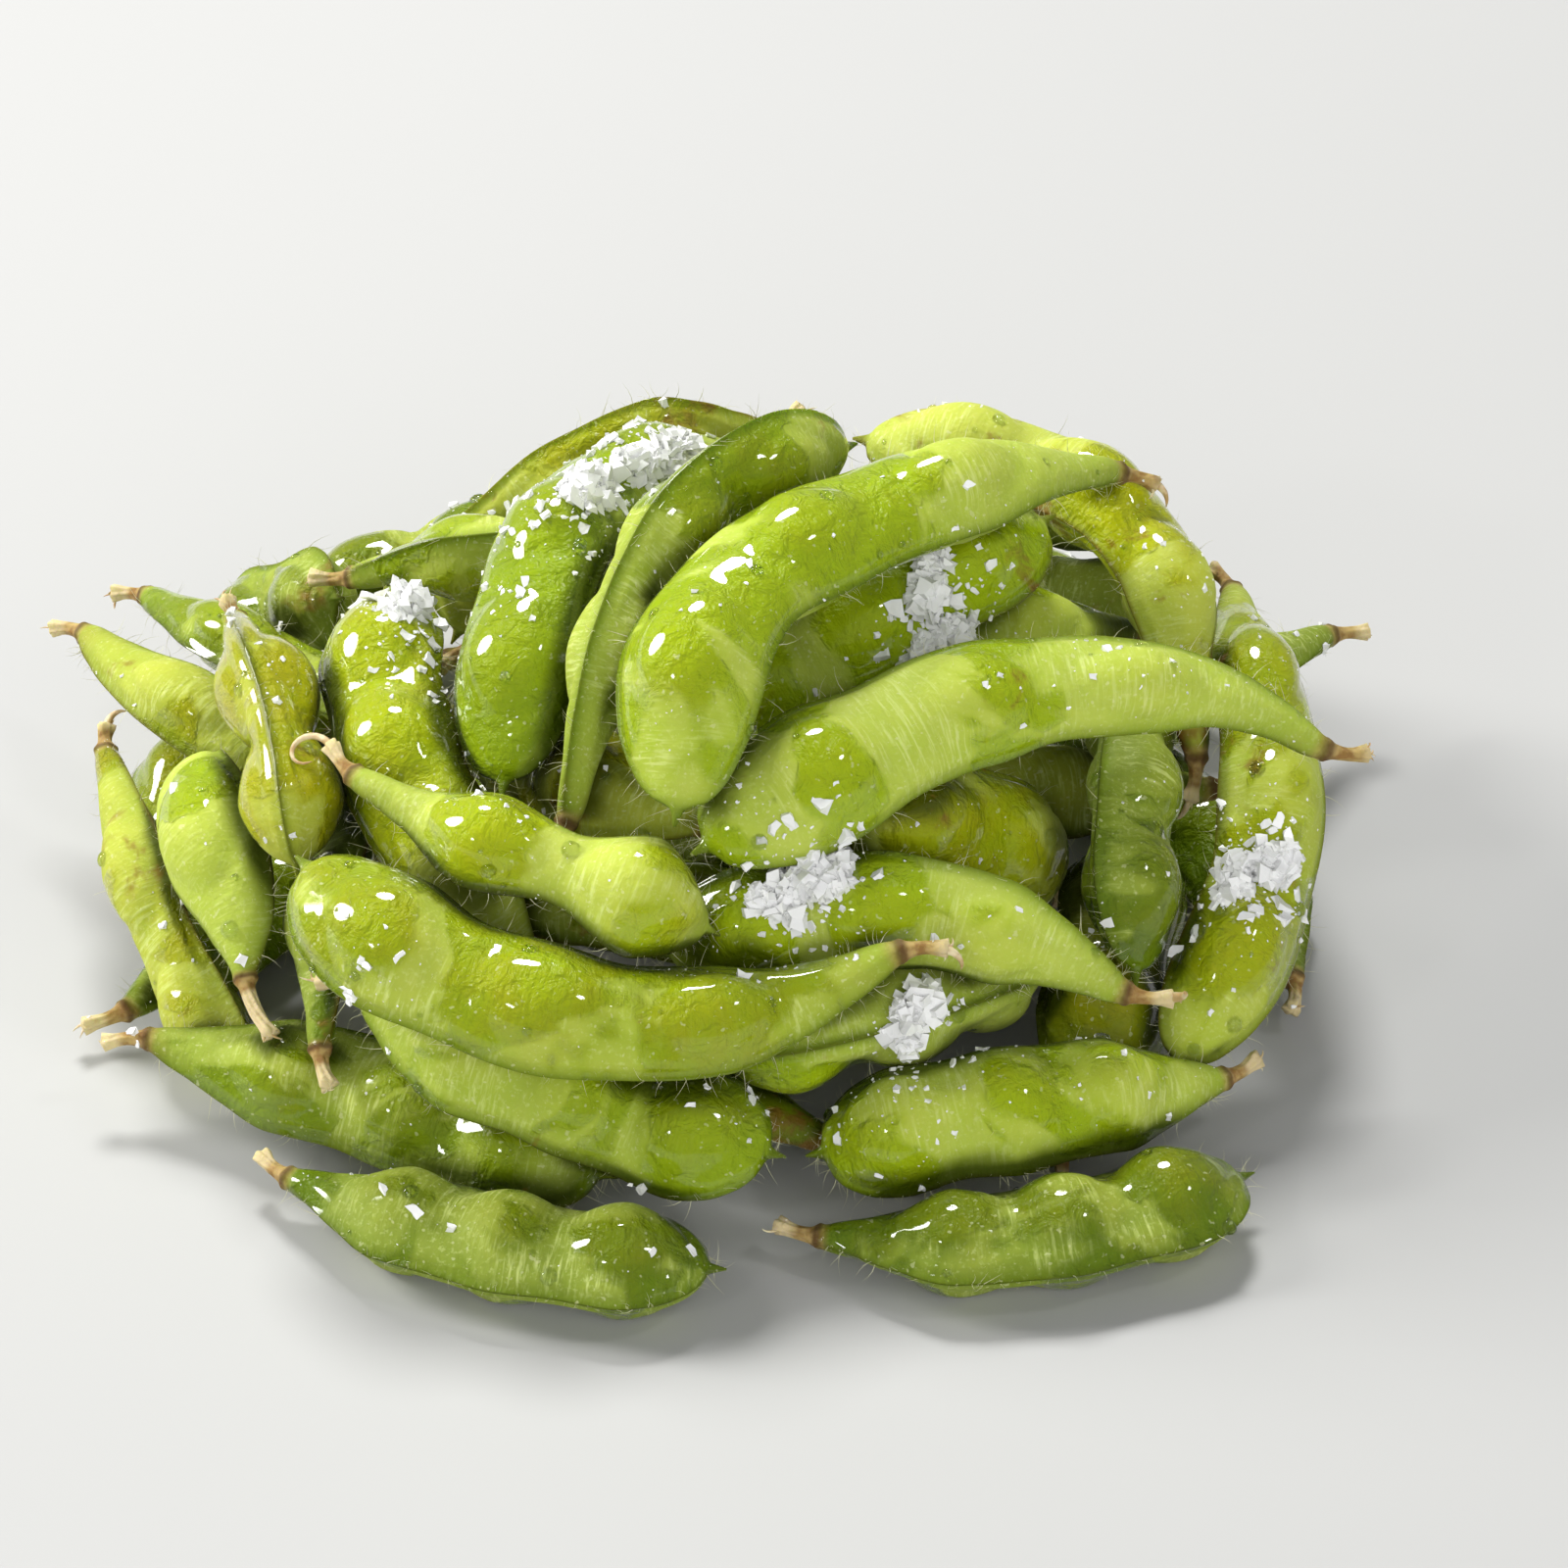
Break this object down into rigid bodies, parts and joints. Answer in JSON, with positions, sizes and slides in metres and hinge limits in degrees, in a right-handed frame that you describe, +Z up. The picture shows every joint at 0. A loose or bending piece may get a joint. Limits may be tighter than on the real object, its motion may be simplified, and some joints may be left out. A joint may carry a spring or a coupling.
{
  "type": "edamame pod bundle",
  "caption": "Loose heap of boiled green soybean pods with stalk stubs and coarse salt, lying on a table as a serving of food.",
  "frame": {"origin": "on the table, under the middle of the heap's bounding box", "axes": "+Z up from the table; +X towards the heap's right and -Y towards its front, as a person facing it sees it"},
  "size_m": [0.1414, 0.1338, 0.0578],
  "materials": {
    "pod": "wet boiled pod skin, softly glossy, with short down and tan stalk ends",
    "salt": "clear to white flaky salt crystals"
  },
  "bodies": {
    "root": {"crown_pod_1": "pod", "crown_pod_2": "pod", "crown_pod_3": "pod", "crown_pod_4": "pod", "crown_pod_5": "pod", "front_pod_1": "pod", "front_pod_2": "pod", "front_pod_3": "pod", "front_pod_4": "pod", "front_pod_5": "pod", "front_pod_6": "pod", "front_pod_7": "pod", "front_pod_8": "pod", "right_pod_1": "pod", "right_pod_2": "pod", "right_pod_3": "pod", "right_pod_4": "pod", "right_pod_5": "pod", "left_pod_1": "pod", "left_pod_2": "pod", "left_pod_3": "pod", "left_pod_4": "pod", "left_pod_5": "pod", "left_pod_6": "pod", "left_pod_7": "pod", "left_pod_8": "pod", "left_pod_9": "pod", "back_pod_1": "pod", "back_pod_2": "pod", "back_pod_3": "pod", "back_pod_4": "pod", "back_pod_5": "pod", "core_pod_1": "pod", "core_pod_2": "pod", "core_pod_3": "pod", "core_pod_4": "pod", "core_pod_5": "pod", "core_pod_6": "pod", "middle_pod_1": "pod", "middle_pod_2": "pod", "middle_pod_3": "pod", "middle_pod_4": "pod", "middle_pod_5": "pod", "base_pod_1": "pod", "base_pod_2": "pod", "base_pod_3": "pod", "base_pod_4": "pod", "base_pod_5": "pod", "base_pod_6": "pod", "base_pod_7": "pod", "base_pod_8": "pod", "base_pod_9": "pod", "salt_clump_1": "salt", "salt_clump_2": "salt", "salt_clump_3": "salt", "salt_clump_4": "salt", "salt_clump_5": "salt", "salt_clump_6": "salt", "salt_clump_7": "salt", "salt_clump_8": "salt"}
  },
  "joints": []
}
